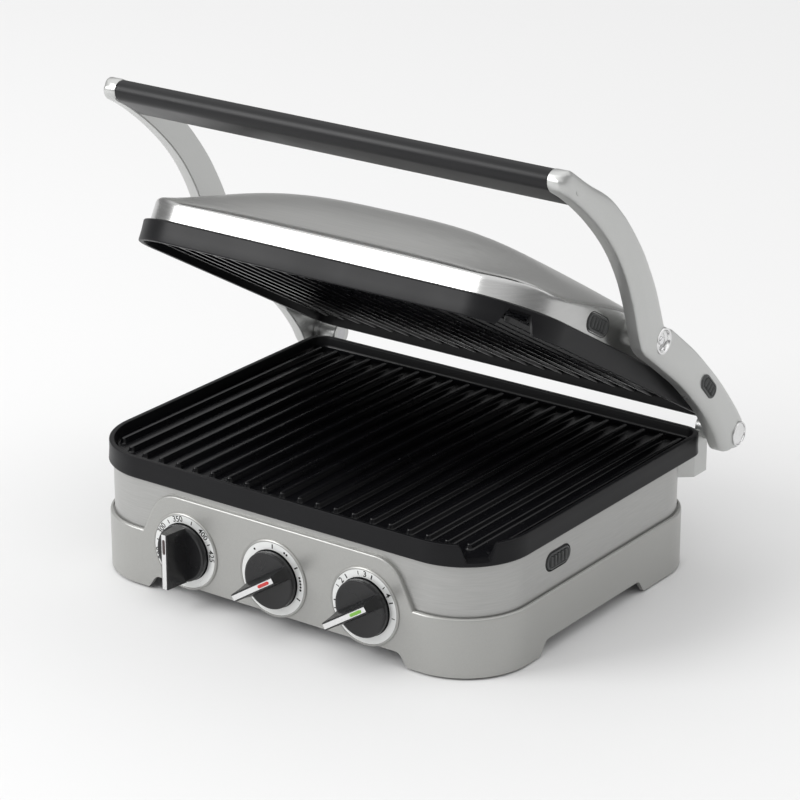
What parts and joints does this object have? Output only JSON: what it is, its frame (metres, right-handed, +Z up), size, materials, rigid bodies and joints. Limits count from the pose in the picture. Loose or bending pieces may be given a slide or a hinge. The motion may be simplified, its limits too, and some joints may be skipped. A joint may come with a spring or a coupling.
{
  "type": "panini press",
  "caption": "Countertop contact grill: ribbed plate on a stepped base with dials, and a domed cover carried between two arms that meet in a bar handle.",
  "frame": {"origin": "on the worktop, under the middle of the overall bounding box, with the cover raised as in use", "axes": "+Z up, +X to the user's right along the hinge, -Y towards the user (the side with the dials)"},
  "size_m": [0.3447, 0.2928, 0.3072],
  "materials": {
    "lid_steel": "brushed, with a mirror-bright lower band",
    "base_steel": "fine satin",
    "silver_paint": "satin silver",
    "arm_silver": "satin",
    "plate_nonstick": "dark non-stick coating, satin",
    "bright_metal": "bright",
    "plain_steel": "plain",
    "reflector_sheet": "bright sheet",
    "black_plastic": "satin black",
    "button_plastic": "satin dark grey",
    "dial_black": "satin black",
    "inlay_silver": "silver foil",
    "lens_off": "clear lens, unlit",
    "lens_red": "lit red lens",
    "lens_green": "lit green lens",
    "rubber": "matte",
    "ceramic": "heat-proof moulding",
    "frame_plastic": "heat-proof moulding"
  },
  "bodies": {
    "base": {"base_upper_shell": "base_steel", "base_skirt": "silver_paint", "bottom_cover": "plain_steel", "foot_pads": "rubber", "cover_screws": "plain_steel", "cover_posts": "plain_steel", "cord_gland": "black_plastic", "lower_heater": "plain_steel", "lower_reflector": "reflector_sheet", "lower_heater_clips": "plain_steel", "terminal_block": "ceramic", "thermal_fuse": "plain_steel", "griddle_ring": "silver_paint", "selector_ring": "silver_paint", "grill_ring": "silver_paint", "griddle_thermostat": "plain_steel", "grill_thermostat": "plain_steel", "selector_switch": "ceramic", "hinge_bracket_right": "silver_paint", "hinge_bracket_left": "silver_paint", "bracket_bolts": "plain_steel", "hinge_pins": "plain_steel", "hinge_washers": "bright_metal"},
    "griddle_dial": {"griddle_knob": "dial_black", "griddle_inlay": "inlay_silver", "griddle_lens": "lens_off", "griddle_shaft": "plain_steel"},
    "selector_dial": {"selector_knob": "dial_black", "selector_inlay": "inlay_silver", "selector_lens": "lens_red", "selector_shaft": "plain_steel"},
    "grill_dial": {"grill_knob": "dial_black", "grill_inlay": "inlay_silver", "grill_lens": "lens_green", "grill_shaft": "plain_steel"},
    "lower_plate_body": {"lower_plate": "plate_nonstick"},
    "base_release": {"base_release_button": "button_plastic", "base_latch": "plain_steel"},
    "arms": {"arm_right": "arm_silver", "arm_left": "arm_silver", "grip": "black_plastic", "grip_core": "plain_steel", "grip_bolts": "plain_steel", "grip_plugs": "arm_silver", "pivot_bolts": "bright_metal", "pivot_collars": "bright_metal", "hinge_caps": "bright_metal"},
    "hinge_release_slide": {"hinge_release": "button_plastic", "hinge_lock": "plain_steel"},
    "lid": {"lid_shell": "lid_steel", "lid_frame": "frame_plastic", "lid_screws": "plain_steel", "upper_reflector": "reflector_sheet", "upper_heater": "plain_steel", "upper_heater_clips": "plain_steel", "pivot_springs": "plain_steel"},
    "upper_plate_body": {"upper_plate": "plate_nonstick"},
    "lid_release": {"lid_release_button": "button_plastic", "lid_latch": "plain_steel"}
  },
  "joints": [
    {"name": "arms_hinge", "type": "hinge", "parent": "base", "child": "arms", "pos_m": [0, 0.13492, 0.084], "axis": [-1, 0, 0], "range_deg": [-29.9, 148]},
    {"name": "lid_float", "type": "hinge", "parent": "arms", "child": "lid", "pos_m": [0, 0.03914, 0.17461], "axis": [1, 0, 0], "range_deg": [0, 25], "stiffness_Nm_per_rad": 3, "springref_deg": -20.05},
    {"name": "griddle_turn", "type": "hinge", "parent": "base", "child": "griddle_dial", "pos_m": [-0.069, -0.12643, 0.0335], "axis": [0, 1, 0], "range_deg": [-150, 120]},
    {"name": "selector_turn", "type": "hinge", "parent": "base", "child": "selector_dial", "pos_m": [0, -0.12643, 0.0335], "axis": [0, 1, 0], "range_deg": [-114, 0]},
    {"name": "grill_turn", "type": "hinge", "parent": "base", "child": "grill_dial", "pos_m": [0.069, -0.12643, 0.0335], "axis": [0, 1, 0], "range_deg": [-177, 93]},
    {"name": "base_release_press", "type": "slide", "parent": "base", "child": "base_release", "axis": [-1, 0, 0], "range_m": [0, 0.0025], "stiffness_N_per_m": 600, "springref_m": -0.002},
    {"name": "lid_release_press", "type": "slide", "parent": "lid", "child": "lid_release", "axis": [-1, 0, 0], "range_m": [0, 0.0025], "stiffness_N_per_m": 600, "springref_m": -0.002},
    {"name": "hinge_release_pull", "type": "slide", "parent": "arms", "child": "hinge_release_slide", "axis": [0, -0.7001, 0.7141], "range_m": [0, 0.004], "stiffness_N_per_m": 500, "springref_m": -0.002},
    {"name": "lower_plate_lift", "type": "slide", "parent": "base", "child": "lower_plate_body", "axis": [0, -0.9659, 0.2588], "range_m": [0, 0.12]},
    {"name": "upper_plate_lift", "type": "slide", "parent": "lid", "child": "upper_plate_body", "axis": [0, -0.8669, 0.4985], "range_m": [0, 0.12]}
  ]
}
